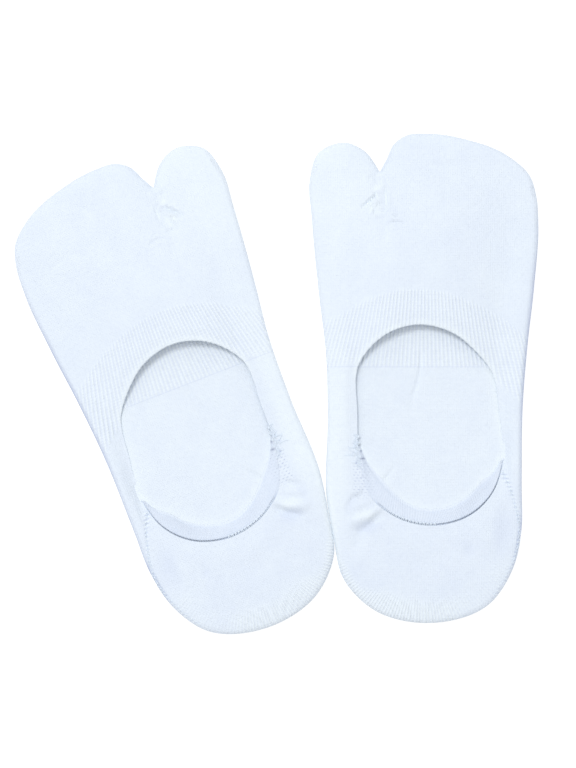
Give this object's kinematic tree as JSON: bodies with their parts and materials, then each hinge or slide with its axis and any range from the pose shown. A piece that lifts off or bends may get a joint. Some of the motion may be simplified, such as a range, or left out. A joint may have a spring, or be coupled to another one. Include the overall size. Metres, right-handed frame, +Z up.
{
  "type": "pair of tabi socks",
  "caption": "Pair of white split-toe no-show knitted socks laid flat, each an open-mouthed hollow tube with an elastic welt at the heel.",
  "frame": {"origin": "centre of the pair's box, on the surface that the socks lie on", "axes": "+Y from heels to toes of the right sock, +X across the pair towards the right sock's little toe, +Z up"},
  "size_m": [0.2244, 0.2152, 0.0061],
  "materials": {
    "sock_knit": "soft plain-knit jersey with ribbed arch bands",
    "welt_knit": "fine ribbed elastic knit"
  },
  "bodies": {
    "root": {"right_sock": "sock_knit", "left_sock": "sock_knit", "right_heel_welt": "welt_knit", "left_heel_welt": "welt_knit"}
  },
  "joints": []
}
